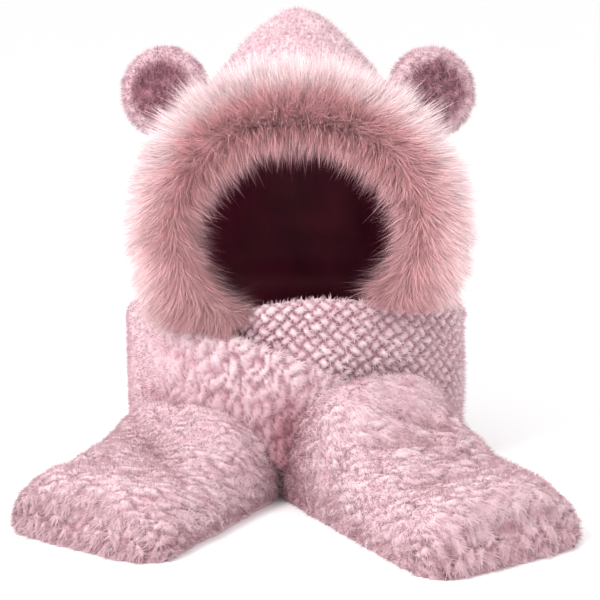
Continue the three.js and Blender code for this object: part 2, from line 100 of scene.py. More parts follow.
# Plush: its lowest point above the surface it lies on, then the pile's width, how deep it is
# rooted, how far hairs stray from each other, the lean out of a tuft's middle, the share that a
# tuft leans its own way and how far in a tuft's top is round
PLUSH_CLEARANCE = 0.25
PILE_WIDTH, PILE_SINK, PILE_STRAY = (0.55, 0.95), 0.7, 0.17
TUFT_SPREAD, TUFT_SWAY = 0.45, 0.35
TUFT_ROUND = 0.75
SCARF_PILE, HOOD_PILE, EAR_PILE, POCKET_PILE = 92000, 46000, 12000, 42000

# Hairs: clearance above the surface, how soon the tip's colour comes and how slowly they taper
HAIR_CLEARANCE, TINT_RISE, TAPER = 0.3, 0.8, 0.6

# a point inside the hood that its surfaces face away from
HOOD_INSIDE = np.array([0, 0, 200.0])

# Curves and grids


def curve(keys, values, at):
    """Smooth values through a table's keys, level at both ends."""
    keys, values, at = (np.asarray(x, float) for x in (keys, values, at))
    slopes = np.zeros_like(values)
    slopes[1:-1] = (values[2:] - values[:-2]) / (keys[2:] - keys[:-2])
    i = np.clip(np.searchsorted(keys, at, "left") - 1, 0, len(keys) - 2)
    span = keys[i + 1] - keys[i]
    t = np.clip((at - keys[i]) / span, 0, 1)
    rise, fall = 2 * t**3 - 3 * t**2 + 1, 3 * t**2 - 2 * t**3
    return (
        rise * values[i]
        + (t**3 - 2 * t**2 + t) * span * slopes[i]
        + fall * values[i + 1]
        + (t**3 - t**2) * span * slopes[i + 1]
    )


def unit(v):
    return v / np.maximum(np.linalg.norm(v, axis=-1, keepdims=True), 1e-9)


def smooth(low, high, x):
    t = np.clip((x - low) / (high - low), 0, 1)
    return t * t * (3 - 2 * t)


def chance(i, j, seed):
    """A repeatable random number for each cell of a lattice."""
    x = np.sin(i * 12.9898 + j * 78.233 + seed * 37.719) * 43758.5453
    return x - np.floor(x)


def waves(s, t, length, seed):
    """Smooth noise over a surface, from -1 to 1."""
    picks = np.random.default_rng(seed)
    total = np.zeros(np.broadcast(s, t).shape)
    for octave in range(WAVE_OCTAVES):
        scale = 2 * math.pi / (length / WAVE_FINER**octave)
        for _ in range(3):
            turn, phase = picks.uniform(0, 2 * math.pi, 2)
            place = (s * math.cos(turn) + t * math.sin(turn)) * scale
            total += np.sin(place + phase) / WAVE_WEAKER**octave
    return total / WAVE_SUM


def tufts(a, b, pitch, seed, stagger=0.5, jitter=0.3, woven=0.0):
    """A lattice of tufts with rows along b: how far inside its tuft a point is, from 0 at its edge,
    the way to the point from the tuft's middle, and the tuft's own random number."""
    far_off = 9.0
    near = np.full(a.shape, far_off)
    second = np.full(a.shape, far_off)
    away = np.zeros(a.shape + (2,))
    own = np.zeros(a.shape)
    for row in (-1, 0, 1):
        i = np.floor(a / pitch[0]) + row
        shift = stagger * (i % 2)
        for column in (-1, 0, 1):
            j = np.floor(b / pitch[1] - shift) + column
            longer = woven * (2 * ((i + j) % 2) - 1)
            da = a / pitch[0] - (i + 0.5 + jitter * (chance(i, j, seed) - 0.5))
            db = b / pitch[1] - shift - (j + 0.5 + jitter * (chance(i, j, seed + 1) - 0.5))
            far = np.hypot(da * (1 + longer), db * (1 - longer))
            closer = far < near
            second = np.where(closer, near, np.minimum(second, far))
            near = np.where(closer, far, near)
            away[closer] = np.stack([da, db], -1)[closer]
            own = np.where(closer, chance(i, j, seed + 2), own)
    return second - near, away, own


def turned(s, t, degrees):
    """The places on a surface, turned, so that rows of tufts run aslant."""
    a = math.radians(degrees)
    return s * math.cos(a) + t * math.sin(a), t * math.cos(a) - s * math.sin(a)


def warped(s, t, amount, seed):
    """The places on a surface, pushed about, so that rows of tufts wander."""
    push = waves(s, t, WARP_LENGTH, seed)
    slide = waves(s, t, WARP_LENGTH, seed + 1)
    return s + amount * push, t + amount * slide


def blended(share, one, other):
    """One field of tufts where share is under a half, and the other elsewhere."""
    pick = share > 0.5
    picks = pick, pick[..., None], pick
    return tuple(np.where(p, o, m) for p, m, o in zip(picks, one, other))


def grid_normals(p, wrap):
    """Normals of a grid of points (rows, columns, 3); wrap joins the last column to the first."""
    along = np.gradient(p, axis=0)
    if wrap:
        across = (np.roll(p, -1, 1) - np.roll(p, 1, 1)) / 2
    else:
        across = np.gradient(p, axis=1)
    return unit(np.cross(along, across))


def grid_faces(rows, columns, wrap):
    i, j = np.meshgrid(
        np.arange(rows - 1), np.arange(columns if wrap else columns - 1), indexing="ij"
    )
    k = (j + 1) % columns
    quads = np.stack(
        [i * columns + j, i * columns + k, (i + 1) * columns + k, (i + 1) * columns + j], -1
    )
    return quads.reshape(-1, 4)


# Meshes


def make_mesh(name, points, faces, tint, material, nodes=()):
    """A piece from arrays: points in millimetres, one or more arrays of faces, and each point's
    tint. nodes are the solids that it is shown for."""
    mesh = bpy.data.meshes.new(name)
    faces = [np.asarray(f, np.int32) for f in faces]
    loops = np.concatenate([f.ravel() for f in faces])
    sizes = np.concatenate([np.full(len(f), f.shape[1], np.int32) for f in faces])
    mesh.vertices.add(len(points))
    mesh.vertices.foreach_set("co", (points / 1000 + ORIGIN).astype(np.float32).ravel())
    mesh.loops.add(len(loops))
    mesh.loops.foreach_set("vertex_index", loops)
    mesh.polygons.add(len(sizes))
    starts = np.concatenate([[0], np.cumsum(sizes)[:-1]]).astype(np.int32)
    mesh.polygons.foreach_set("loop_start", starts)
    mesh.polygons.foreach_set("loop_total", sizes)
    mesh.polygons.foreach_set("use_smooth", np.ones(len(sizes), bool))
    colours = mesh.attributes.new("tint", "FLOAT_COLOR", "POINT")
    rgba = np.concatenate([np.clip(tint, 0, 1), np.ones((len(points), 1))], 1)
    colours.data.foreach_set("color", rgba.astype(np.float32).ravel())
    mesh.update()
    mesh.validate()
    mesh.materials.append(material)
    piece = bpy.data.objects.new(name, mesh)
    bpy.context.scene.collection.objects.link(piece)
    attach(piece, "root")
    for one in nodes:
        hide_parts(one)
    return piece


def hairs(name, root, way, bend, length, width, low, high, material, segments, up):
    """Tapered ribbons in one mesh. low and high are the colours at the root and at the tip, and up
    is the way out of the surface."""
    count = len(root)
    side = unit(np.cross(way, up))
    places, tints = [], []
    for k in range(segments + 1):
        t = k / segments
        middle = root + way * (length * t)[:, None] + bend * (length * t * t)[:, None]
        shade = low + (high - low) * t**TINT_RISE
        if k == segments:
            places.append(middle)
            tints.append(shade)
            continue
        half = side * (width * (1 - t) ** TAPER / 2)[:, None]
        places += [middle - half, middle + half]
        tints += [shade, shade]
    per = 2 * segments + 1
    points = np.stack(places, 1).reshape(-1, 3)
    points[:, 2] = np.maximum(points[:, 2], HAIR_CLEARANCE)
    tint = np.stack(tints, 1).reshape(-1, 3)
    strip = []
    for k in range(segments - 1):
        a = 2 * k
        strip += [(a, a + 1, a + 3), (a, a + 3, a + 2)]
    strip.append((2 * segments - 2, 2 * segments - 1, 2 * segments))
    faces = (np.arange(count)[:, None, None] * per + np.array(strip)[None]).reshape(-1, 3)
    make_mesh(name, points, [faces], tint, material)


def sample_grid(fields, area, count, wrap):
    """Random places on a grid of fields (rows, columns, k), more where area is larger."""
    rows, columns = area.shape
    weight = area.ravel() / area.sum()
    pick = rng.choice(rows * columns, count, p=weight)
    i, j = np.divmod(pick, columns)
    u, v = rng.random(count), rng.random(count)
    i2 = np.minimum(i + 1, rows - 1)
    j2 = (j + 1) % columns if wrap else np.minimum(j + 1, columns - 1)
    found = []
    for field in fields:
        a, b, c, d = field[i, j], field[i, j2], field[i2, j], field[i2, j2]
        shape = (-1,) + (1,) * (a.ndim - 1)
        uu, vv = u.reshape(shape), v.reshape(shape)
        found.append((a * (1 - vv) + b * vv) * (1 - uu) + (c * (1 - vv) + d * vv) * uu)
    return found


def cell_area(p, wrap):
    along = np.linalg.norm(np.gradient(p, axis=0), axis=-1)
    if wrap:
        across = np.linalg.norm(np.roll(p, -1, 1) - p, axis=-1)
    else:
        across = np.linalg.norm(np.gradient(p, axis=1), axis=-1)
    return along * across


# Materials

# noise in each fibre's colour and surface: detail, fineness and depth in metres
FIBRE_DETAIL, FIBRE_FINENESS, FIBRE_DEPTH = 3.0, 900.0, 0.001
SHEEN_ROUGHNESS, FIBRE_SPECULAR = 0.5, 0.2


def fibre_material(name, roughness, sheen, speckle=0.12, scale=260.0, bump=0.0):
    """Dyed fibre: the tint of each point, varied by fine noise, with a soft sheen."""
    material = bpy.data.materials.new(name)
    material.use_nodes = True
    nodes, links = material.node_tree.nodes, material.node_tree.links
    shader = nodes["Principled BSDF"]
    tint = nodes.new("ShaderNodeAttribute")
    tint.attribute_name = "tint"
    noise = nodes.new("ShaderNodeTexNoise")
    noise.inputs["Scale"].default_value = scale
    noise.inputs["Detail"].default_value = FIBRE_DETAIL
    place = nodes.new("ShaderNodeTexCoord")
    links.new(place.outputs["Object"], noise.inputs["Vector"])
    level = nodes.new("ShaderNodeMapRange")
    level.inputs["To Min"].default_value = 1.0 - speckle
    level.inputs["To Max"].default_value = 1.0 + speckle
    links.new(noise.outputs["Fac"], level.inputs["Value"])
    mix = nodes.new("ShaderNodeVectorMath")
    mix.operation = "SCALE"
    links.new(tint.outputs["Color"], mix.inputs[0])
    links.new(level.outputs["Result"], mix.inputs["Scale"])
    links.new(mix.outputs["Vector"], shader.inputs["Base Color"])
    shader.inputs["Roughness"].default_value = roughness
    shader.inputs["Sheen Weight"].default_value = sheen
    shader.inputs["Sheen Roughness"].default_value = SHEEN_ROUGHNESS
    shader.inputs["Specular IOR Level"].default_value = FIBRE_SPECULAR
    if bump:
        fibres = nodes.new("ShaderNodeTexNoise")
        fibres.inputs["Scale"].default_value = FIBRE_FINENESS
        fibres.inputs["Detail"].default_value = FIBRE_DETAIL
        links.new(place.outputs["Object"], fibres.inputs["Vector"])
        rough = nodes.new("ShaderNodeBump")
        rough.inputs["Strength"].default_value = bump
        rough.inputs["Distance"].default_value = FIBRE_DEPTH
        links.new(fibres.outputs["Fac"], rough.inputs["Height"])
        links.new(rough.outputs["Normal"], shader.inputs["Normal"])
    return material


plush = fibre_material("plush", 0.9, 0.3, bump=0.35)
pile = fibre_material("pile", 0.8, 0.3, speckle=0.05)
fur = fibre_material("fur", 0.6, 0.2, speckle=0.05)
satin = fibre_material("satin", 0.55, 0.0, speckle=0.2, scale=40.0)

# Scarf

rest = TAIL_THICK / 2 / SCARF_WIDTH
wide = TAIL_WIDTH / SCARF_WIDTH * 0.94
flat = TAIL_THICK / SCARF_THICK
# where, then the height of the middle and the width as shares of the scarf's width, the lean in
# degrees and the thickness as a share of the scarf's. where is (side, share) or (turn, layer).
SCARF_ROWS = [
    (("left", 0.97), rest, wide * 0.9, 90, flat * 0.9),
    (("left", 0.92), rest, wide, 90, flat),
    (("left", 0.5), rest, wide, 90, flat),
    (("left", 0.3), rest, wide * 0.98, 90, flat),
    (("left", 0.15), rest + 0.02, 0.76, 86, flat),
    ((229, -0.35), 0.25, 0.6, 58, flat),
    ((239, -0.1), 0.45, 0.74, 26, 0.95),
    ((250, 0), 0.555, 0.92, 8, 1),
    ((263, 0), 0.615, 0.96, 3, 1),
    ((280, 0), 0.63, NECK_SHARE, 1, 1),
    ((303, 0), 0.605, NECK_SHARE, 0, 1),
    ((330, 0), 0.53, NECK_SHARE, 0, 1),
    ((360, 0), NECK_MID, NECK_SHARE, 0, 1),
    ((390, 0), NECK_MID, NECK_SHARE, 0, 1),
    ((420, 0), NECK_MID, NECK_SHARE, 0, 1),
    ((450, 0), NECK_MID, NECK_SHARE, 0, 1),
    ((480, 0), NECK_MID, NECK_SHARE, 0, 1),
    ((515, 0), NECK_MID, NECK_SHARE, 0, 1),
    ((545, 0.15), 0.52, 0.92, 0, 1.05),
    ((565, 0.6), 0.6, 0.78, 0, 1.1),
    ((585, 0.95), 0.63, 0.73, 2, 1.15),
    ((605, 1), 0.595, 0.7, 5, 1.2),
    ((622, 1), 0.52, 0.66, 10, 1.2),
    ((640, 1.05), 0.41, 0.6, 22, 1.15),
    (("right", 0.22), 0.27, 0.58, 50, 1.05),
    (("right", 0.38), 0.13, 0.82, 78, flat),
    (("right", 0.52), rest, wide, 90, flat),
    (("right", 0.93), rest, wide, 90, flat),
    (("right", 0.975), rest, wide * 0.9, 90, flat * 0.9),
]


def on_tail(side, share):
    tail = TAILS[side]
    yaw = math.radians(tail["yaw"])
    x = tail["root"][0] * NECK_HALF_WIDTH + math.sin(yaw) * tail["reach"] * share
    y = tail["root"][1] * NECK_HALF_DEPTH - math.cos(yaw) * tail["reach"] * share
    return x, y


def on_collar(turn, layer):
    out = SCARF_THICK / 2 + layer * (SCARF_THICK + LAYER_GAP)
    a = np.radians(turn)
    return (NECK_HALF_WIDTH + out) * np.cos(a), (NECK_HALF_DEPTH + out) * np.sin(a)


def scarf_sections():
    """Finer rows than the table's: station, x, y, mid, width, lean and thickness."""
    made = []
    groups = {}
    for station, row in enumerate(SCARF_ROWS):
        key = row[0][0] if isinstance(row[0][0], str) else "neck"
        groups.setdefault(key, []).append((station, row))
    for key, rows in groups.items():
        stations = np.array([s for s, _ in rows], float)
        fine = np.arange(stations[0] * 3, stations[-1] * 3 + 1) / 3
        shape = [curve(stations, [r[c] for _, r in rows], fine) for c in (1, 2, 3, 4)]
        if key == "neck":
            turn = curve(stations, [r[0][0] for _, r in rows], fine)
            layer = curve(stations, [r[0][1] for _, r in rows], fine)
            x, y = on_collar(turn, layer)
        else:
            share = curve(stations, [r[0][1] for _, r in rows], fine)
            x, y = on_tail(key, share)
        made.append(np.stack([fine, x, y, *shape], 1))
    table = np.concatenate(made)
    return table[np.argsort(table[:, 0])]


SECTIONS = scarf_sections()
LAST_STATION = SECTIONS[-1, 0]


def scarf_frame(station):
    """Middle, across, outward, half width and half thickness at each station."""
    x, y, mid, width, lean, bulk = (
        curve(SECTIONS[:, 0], SECTIONS[:, c], station) for c in range(1, 7)
    )
    ahead = np.minimum(station + 0.02, LAST_STATION)
    behind = np.maximum(station - 0.02, 0)
    dx, dy = (
        curve(SECTIONS[:, 0], SECTIONS[:, c], ahead) - curve(SECTIONS[:, 0], SECTIONS[:, c], behind)
        for c in (1, 2)
    )
    length = np.hypot(dx, dy)
    out = np.stack([dy / length, -dx / length, np.zeros_like(dx)], -1)
    up = np.array([0.0, 0.0, 1.0])
    lean = np.radians(lean)[:, None]
    middle = np.stack([x, y, mid * SCARF_WIDTH], -1)
    across = up * np.cos(lean) - out * np.sin(lean)
    outward = out * np.cos(lean) + up * np.sin(lean)
    return middle, across, outward, width * SCARF_WIDTH / 2, bulk * SCARF_THICK / 2


def gloom(p):
    """How much light is left where the tails come out from under the collar."""
    gap_middle, gap_width, darkest = -9, 17, 0.45
    gap = np.exp(-(((p[..., 0] - gap_middle) / gap_width) ** 2)) * smooth(-105, -130, p[..., 1])
    return 1 - darkest * gap * smooth(120, 75, p[..., 2])


def dressed(name, grid, field, relief, wrap, nodes, pile_count, keep, comb, length, soft,
            high=4.5, cap=False, body=BODY_PINK, tip=TIP_PINK, puff=1.2, shade=1.0):
    """A tufted plush surface and its pile. grid is the points, the ways out and the distances along
    and across. field is a result of tufts, relief how strongly it shows and high how far it stands
    out. puff is the height of the broad swells. keep is where pile grows, and comb is its lean
    along, across and upwards. shade is painted shade that darkens the colours, and soft, up to 1,
    hides the painted shade between tufts."""
    p, out, s, t = grid
    inside, away, own = field
    round_top = 1 - (1 - np.clip(inside / TUFT_ROUND, 0, 1)) ** 2
    uneven = waves(s, t, 75.0, 5)

    def normals(points):
        n = grid_normals(points, wrap)
        return n if (n * out).sum() > 0 else -n

    n = normals(p)
    lift = relief * high * (round_top * (0.8 + 0.4 * own) - 0.55) + puff * uneven
    p = p + n * lift[..., None]
    p[..., 2] = np.maximum(p[..., 2], PLUSH_CLEARANCE)
    n = normals(p)

    # painted shade: the caller's, and where the tails come out from under the collar
    shade = shade * gloom(p)
    tint = plush_tint(s, t, inside, own, round_top, relief, uneven, body, tip, shade, soft)

    rows, columns = s.shape
    points, colours = p.reshape(-1, 3), tint.reshape(-1, 3)
    faces = [grid_faces(rows, columns, wrap)]
    against = faces_inward(faces[0], points, n)
    if cap:
        # each end closes on a point in its middle
        faces += end_fans(rows, columns)
        points = np.concatenate([points, p[0].mean(0)[None], p[-1].mean(0)[None]])
        colours = np.concatenate([colours, colours[:1], colours[-1:]])
    if against:
        faces = [f[:, ::-1] for f in faces]
    piece = make_mesh(name, points, faces, colours, plush, nodes)

    area = cell_area(p, wrap) * keep
    # the pile's paler tips, in the same painted shade
    pale = tip * (shade + 0 * s)[..., None]
    add_pile(name, (p, n, away, own, round_top * relief, tint, pale), area, wrap, pile_count, comb,
             length)
    return piece


def plush_tint(s, t, inside, own, round_top, relief, uneven, body, tip, shade, soft):
    """Pale tops, painted shade between tufts, and patches of painted shade like the darker look of
    pile that lies the other way.
    """
    # painted shade between the tufts: dark is how strong it is, and deep is how far a point is out
    # of it
    dark = np.clip(relief, 0, 1.2) * (1 - soft)
    deep = (smooth(-0.05, 0.38, inside) * dark + 1 - dark)[..., None]
    level = ((0.93 + 0.12 * own * relief + 0.05 * uneven) * shade)[..., None] ** DEEPER
    high_share = (0.35 + 0.65 * round_top * np.minimum(relief, 1))[..., None]
    # the colour of the painted shade between tufts
    crevice_shade = CREVICE_SHADE * (body / BODY_PINK)
    tint = crevice_shade + (body + (tip - body) * high_share - crevice_shade) * np.clip(deep, 0, 1)
    # broad patches of painted shade, like the darker look of pile that lies the other way
    patch = smooth(0.0, 0.8, waves(s, t, 48.0, 23))[..., None]
    return (tint + (crevice_shade * 1.3 - tint) * 0.24 * patch) * level


def faces_inward(quads, points, n):
    """Whether a grid's faces look against its normals."""
    a, b, d = (points[quads[:, q]] for q in (0, 1, 3))
    return (np.cross(b - a, d - a) * n.reshape(-1, 3)[quads[:, 0]]).sum() < 0


def end_fans(rows, columns):
    """Triangles from a grid's first and last rows to the two points that come after its own."""
    j = np.arange(columns)
    k = (j + 1) % columns
    bottom, top = 0, (rows - 1) * columns
    first = np.stack([np.full(columns, rows * columns), bottom + k, bottom + j], 1)
    last = np.stack([np.full(columns, rows * columns + 1), top + j, top + k], 1)
    return [first, last]


def add_pile(name, fields, area, wrap, count, comb, length):
    """Short hairs that stand out of the tufts and lean the same way within each."""
    p, n, away, own, raised, tint, pale = fields
    fields = [p, n, np.gradient(p, axis=0), np.gradient(p, axis=1), away, own, raised, tint, pale]
    root, up, ds, dt, lean, mine, raised, colour, pale = sample_grid(fields, area, count, wrap)
    up, ds, dt = unit(up), unit(ds), unit(dt)
    way = up + (ds * lean[:, :1] + dt * lean[:, 1:]) * TUFT_SPREAD
    way = way + ds * comb[0] + dt * comb[1] + np.array([0, 0, comb[2]])
    way = unit(way + np.stack([mine - 0.5, 0 * mine, 0.5 - mine], -1) * TUFT_SWAY)
    way = unit(way + rng.normal(size=way.shape) * PILE_STRAY)
    long = length * (0.7 + 0.45 * raised) * rng.uniform(0.7, 1.3, count)
    bend = np.array([0, 0, -0.15]) + rng.normal(size=way.shape) * 0.1
    level = 1 + rng.normal(size=(count, 1)) * 0.05
    tip = colour + (pale * 1.04 - colour) * (0.28 + 0.25 * raised[:, None])
    width = rng.uniform(*PILE_WIDTH, count)
    root = root - up * PILE_SINK
    hairs(name + "_pile", root, way, bend, long, width, colour * level, tip * level, pile,
          1, up)


# steps along the scarf and columns round it, with the share of its girth that the outer ones take
NECK_STEP, TAIL_STEP = 2.3, 4.0
OUTER_COLUMNS, INNER_COLUMNS, OUTER_SHARE = 98, 26, 0.27


def scarf_grid():
    """The scarf's surface: its points and ways out, the distances along and round it, and more."""
    station, lengths = scarf_rows_evenly()
    middle, across, outward, half_width, half = scarf_frame(station)
    reach = (half_width - half)[:, None]
    half = half[:, None]
    edge = math.pi * half
    total = 4 * reach + 2 * edge
    outer = np.linspace(-OUTER_SHARE, OUTER_SHARE, OUTER_COLUMNS)
    inner = np.linspace(OUTER_SHARE, 1 - OUTER_SHARE, INNER_COLUMNS + 2)[1:-1]
    share = np.concatenate([outer, inner])[None] + 0 * total
    d = share % 1 * total
    # from the middle of the outer face over the upper edge to the inner face, and on round
    marks = [reach, reach + edge, 3 * reach + edge, 3 * reach + 2 * edge]
    upper, lower = (d - marks[0]) / half, (d - marks[2]) / half
    where = [d < mark for mark in marks]
    x = np.select(
        where,
        [d, reach + half * np.sin(upper), reach - (d - marks[1]), -reach - half * np.sin(lower)],
        d - total,
    )
    flat_side = half + 0 * d
    y = np.select(
        where, [flat_side, half * np.cos(upper), -flat_side, -half * np.cos(lower)], flat_side
    )
    t = np.where(share > 0.5, share - 1, share) * total
    points = middle[:, None] + across[:, None] * x[..., None] + outward[:, None] * y[..., None]
    out = across[:, None] * (x * (np.abs(x) > reach))[..., None] + outward[:, None] * y[..., None]
    s = lengths[:, None] + 0 * d
    face = smooth(-0.5, 0.7, y / half)
    return points, out, s, t, face, station[:, None] + 0 * d, x / (reach + half)


def scarf_rows_evenly():
    """Stations at even steps along the scarf, longer ones under the pockets, and their lengths."""
    samples = 4000
    dense = np.linspace(0, LAST_STATION, samples)
    middle = scarf_frame(dense)[0]
    run = np.concatenate([[0], np.cumsum(np.linalg.norm(np.diff(middle, axis=0), axis=1))])
    first_neck, last_neck = 3.5, 26
    steps = np.where((dense > first_neck) & (dense < last_neck), NECK_STEP, TAIL_STEP)
    count = np.concatenate([[0], np.cumsum(np.diff(run) / steps[1:])])
    even = np.linspace(0, count[-1], int(count[-1]))
    return np.interp(even, count, dense), np.interp(even, count, run)


def make_scarf():
    p, out, s, t, face, station, side = scarf_grid()
    # where the scarf is the upper layer in front, and where it lies under the pockets
    leaves = smooth(24.0, 25.0, station)
    over = smooth(17.2, 18.6, station) * (1 - leaves)
    tail = 1 - smooth(4.0, 5.0, station) * (1 - leaves)
    places = turned(*warped(s, t, 2.0, 51), 42)
    weave = tufts(*places, (9.4, 10.2), 1, stagger=0, jitter=0.2, woven=0.18)
    ropes = tufts(*turned(*warped(s, t, 5.0, 53), -20), (8.2, 40.0), 2, jitter=0.55)
    rows = tufts(*turned(*warped(s, t, 5.0, 55), 18), (7.5, 11.5), 3, jitter=0.45)
    field = blended(tail, blended(over, weave, ropes), rows)
    # the upper layer's left end is smooth, and its tufts stand out at its upper edge
    calm = 1 - 0.8 * smooth(16.5, 18.5, station) * (1 - smooth(19.6, 21.4, station))
    edge = 1 + 0.35 * over * smooth(0.5, 1, side)
    relief = calm * (0.85 + 0.25 * waves(s, t, 60.0, 8)) * edge
    relief = relief * (0.35 + 0.65 * face) * (1.15 - 0.35 * over)
    keep = (0.1 + 0.9 * face) * smooth(1.5, 6, p[..., 2]) * (1 - 0.85 * tail)
    # the front is darker low down, where the pockets and the tails shade it
    front = smooth(-60, -110, p[..., 1])
    shade = 1 - 0.34 * front * smooth(125, 60, p[..., 2]) * (0.6 + 0.4 * over)
    soft = 0.1 * np.maximum(over, tail) - 0.15 * (1 - over)
    dressed("scarf_cloth", (p, out, s, t), field, relief, True, ["scarf"], SCARF_PILE, keep,
            comb=(0.3, 0.35, -0.1), length=6.2, cap=True, shade=shade, soft=soft)


# Hood

base_side = (NECK_HALF_WIDTH + SCARF_THICK / 2 + HOOD_WALL / 2) / HOOD_HALF_WIDTH
base_depth = (NECK_HALF_DEPTH + SCARF_THICK / 2 + HOOD_WALL / 2) / HOOD_HALF_DEPTH
# level, half width, front and back
HOOD_LEVELS = np.array([
    (0, base_side, -base_depth, base_depth),
    (0.1, 1.09, -0.92, 0.93),
    (0.25, 1.01, -0.95, 0.98),
    (0.42, 1.0, -0.96, 1.0),
    (0.56, 0.92, -0.93, 0.97),
    (0.68, 0.77, -0.82, 0.88),
    (0.78, 0.57, -0.64, 0.75),
    (0.87, 0.4, -0.38, 0.58),
    (0.94, 0.245, -0.12, 0.42),
    (0.985, 0.12, 0.06, 0.28),
    (1.0, 0.02, 0.15, 0.19),
])


def dome(levels, rows, columns, inset):
    """Rings of the hood: points, height along the surface and distance round it."""
    dense = np.linspace(levels[0, 0], 1, 600)
    side, front, back = (curve(levels[:, 0], levels[:, c], dense) for c in (1, 2, 3))
    half = np.maximum(0.5, side * HOOD_HALF_WIDTH - inset)
    depth = np.maximum(0.5, (back - front) / 2 * HOOD_HALF_DEPTH - inset)
    height = np.where(dense > 0, dense * (HOOD_HEIGHT - 1.2 * inset), dense * HOOD_HEIGHT)
    run = np.concatenate([[0], np.cumsum(np.hypot(np.diff(half), np.diff(height)))])
    at = np.linspace(0, run[-1], rows)
    half, depth, height, middle = (
        np.interp(at, run, v) for v in (half, depth, height, (front + back) / 2 * HOOD_HALF_DEPTH)
    )
    a = 2 * math.pi * np.arange(columns) / columns - math.pi / 2
    points = np.stack([
        half[:, None] * np.cos(a),
        middle[:, None] + depth[:, None] * np.sin(a),
        COLLAR_TOP + 0.4 + height[:, None] + 0 * a,
    ], -1)
    around = (a - math.pi / 2)[None] * (half + depth)[:, None] / 2
    return points, at[:, None] + 0 * a, around


def open_front(piece, thickness):
    """Takes away the faces in front of the hood's edge and turns the new edge in."""
    face_edge = ORIGIN[1] - FACE_CUT / 1000
    ragged = 0.003
    bm = bmesh.new()
    bm.from_mesh(piece.data)
    gone = [v for v in bm.verts if v.co.y < face_edge - ragged]
    bmesh.ops.delete(bm, geom=gone, context="VERTS")
    for v in bm.verts:
        v.co.y = max(v.co.y, face_edge)
    bm.normal_update()
    edge = [e for e in bm.edges if e.is_boundary]
    lean = {v: v.normal.copy() for e in edge for v in e.verts}
    made = bmesh.ops.extrude_edge_only(bm, edges=edge)["geom"]
    new = [v for v in made if isinstance(v, bmesh.types.BMVert)]
    old = {tuple(round(c, 6) for c in v.co): n for v, n in lean.items()}
    for v in new:
        v.co -= old[tuple(round(c, 6) for c in v.co)] * thickness
    bm.to_mesh(piece.data)
    bm.free()


def make_hood():
    rows, columns = 150, 360
    p, s, t = dome(HOOD_LEVELS, rows, columns, 0.0)
    mirrored = np.abs(t)
    field = tufts(*turned(*warped(s, mirrored, 3.0, 57), 38), (7.4, 10.5), 7, jitter=0.3)
    # the seam runs over the middle, and the weave shows most at the peak and behind
    seam = 0.2 + 0.8 * smooth(0.0, 4.0, mirrored)
    field = (field[0] * seam, field[1], field[2])
    high = smooth(COLLAR_TOP + 190, COLLAR_TOP + 275, p[..., 2])
    back = smooth(-30, 60, p[..., 1])
    relief = 0.15 + 0.35 * np.maximum(high, back) + 0.25 * waves(s, t, 45.0, 12)
    relief = np.clip(relief, 0.05, 1)
    out = p - HOOD_INSIDE
    keep = smooth(-FACE_CUT - 6, -FACE_CUT + 2, p[..., 1])
    hood = dressed("hood_cloth", (p, out, s, t), field, relief, True, ["hood_crown"], HOOD_PILE,
                   keep, comb=(0.3, 0.0, -0.1), length=6.5, puff=1.8, soft=0.2)
    hem = 0.006
    open_front(hood, hem)


def make_lining():
    hang_out = HOOD_WALL - 1.5
    hang_side = (NECK_HALF_WIDTH + hang_out) / HOOD_HALF_WIDTH
    hang_depth = (NECK_HALF_DEPTH + hang_out) / HOOD_HALF_DEPTH
    hang = [
        (-LINING_DROP / HOOD_HEIGHT, hang_side, -hang_depth, hang_depth),
        (0, hang_side, -hang_depth, hang_depth),
    ]
    rows, columns = 70, 120
    levels = np.concatenate([np.array(hang), HOOD_LEVELS[1:]])
    p, s, t = dome(levels, rows, columns, HOOD_WALL + 1.2)
    n = grid_normals(p, True)
    if (n * (p - HOOD_INSIDE)).sum() < 0:
        n = -n
    fold = waves(s * 0.5, t, 60.0, 9)
    p = p - n * (1.6 + 1.6 * fold)[..., None]
    # painted sheen and shade on the folds: lighter where they stand further in, darker between
    tint = SATIN_RED * (1 + 0.4 * fold[..., None])
    faces = grid_faces(rows, columns, True)
    lining = make_mesh("hood_satin", p.reshape(-1, 3), [faces[:, ::-1]], tint.reshape(-1, 3), satin,
                       ["hood_lining"])
    hem = 0.001
    open_front(lining, hem)


# Fur trim


def on_trim(turn):
    """The trim's centre line and the way out of the face, at turns in degrees from the top."""
    a = np.radians(turn)
    middle = np.stack([
        TRIM_HALF_WIDTH * np.sin(a), -TRIM_DEPTH + 0 * a, TRIM_CENTRE + TRIM_HALF_HEIGHT * np.cos(a)
    ], -1)
    out = unit(np.stack([TRIM_HALF_HEIGHT * np.sin(a), 0 * a, TRIM_HALF_WIDTH * np.cos(a)], -1))
    return middle, out


FORWARD = np.array([0.0, -1.0, 0.0])


# one row for each coat of hair: its name, the number of hairs, the lowest and highest roll in
# degrees, the length and the width
COATS = [
    ("fur_rim", 22000, 78, 160, 27.0, 0.6),
    ("fur_outer", 44000, 8, 88, 28.0, 0.55),
    ("fur_front", 38000, -62, 18, 24.0, 0.55),
    ("fur_inner", 22000, -128, -52, 21.0, 0.5),
]
BACKING_RADIUS = 18.0
ROOT_DEPTHS = 13, 19
# millimetres along the trim to a degree, and the size of a lock along it and round it
TRIM_ARC, LOCK_ALONG, LOCK_ROUND = 2.1, 8.0, 16.0
GUARD_SHARE, GUARD_LONGER, GUARD_PALER = 0.25, 1.22, 0.24


def scarf_line(x):
    """The level that the trim's hair ends at, above the scarf's upper edge."""
    return np.interp(x, [-150, -85, -45, 0, 60, 170], [160, 158, 148, 172, 176, 182])


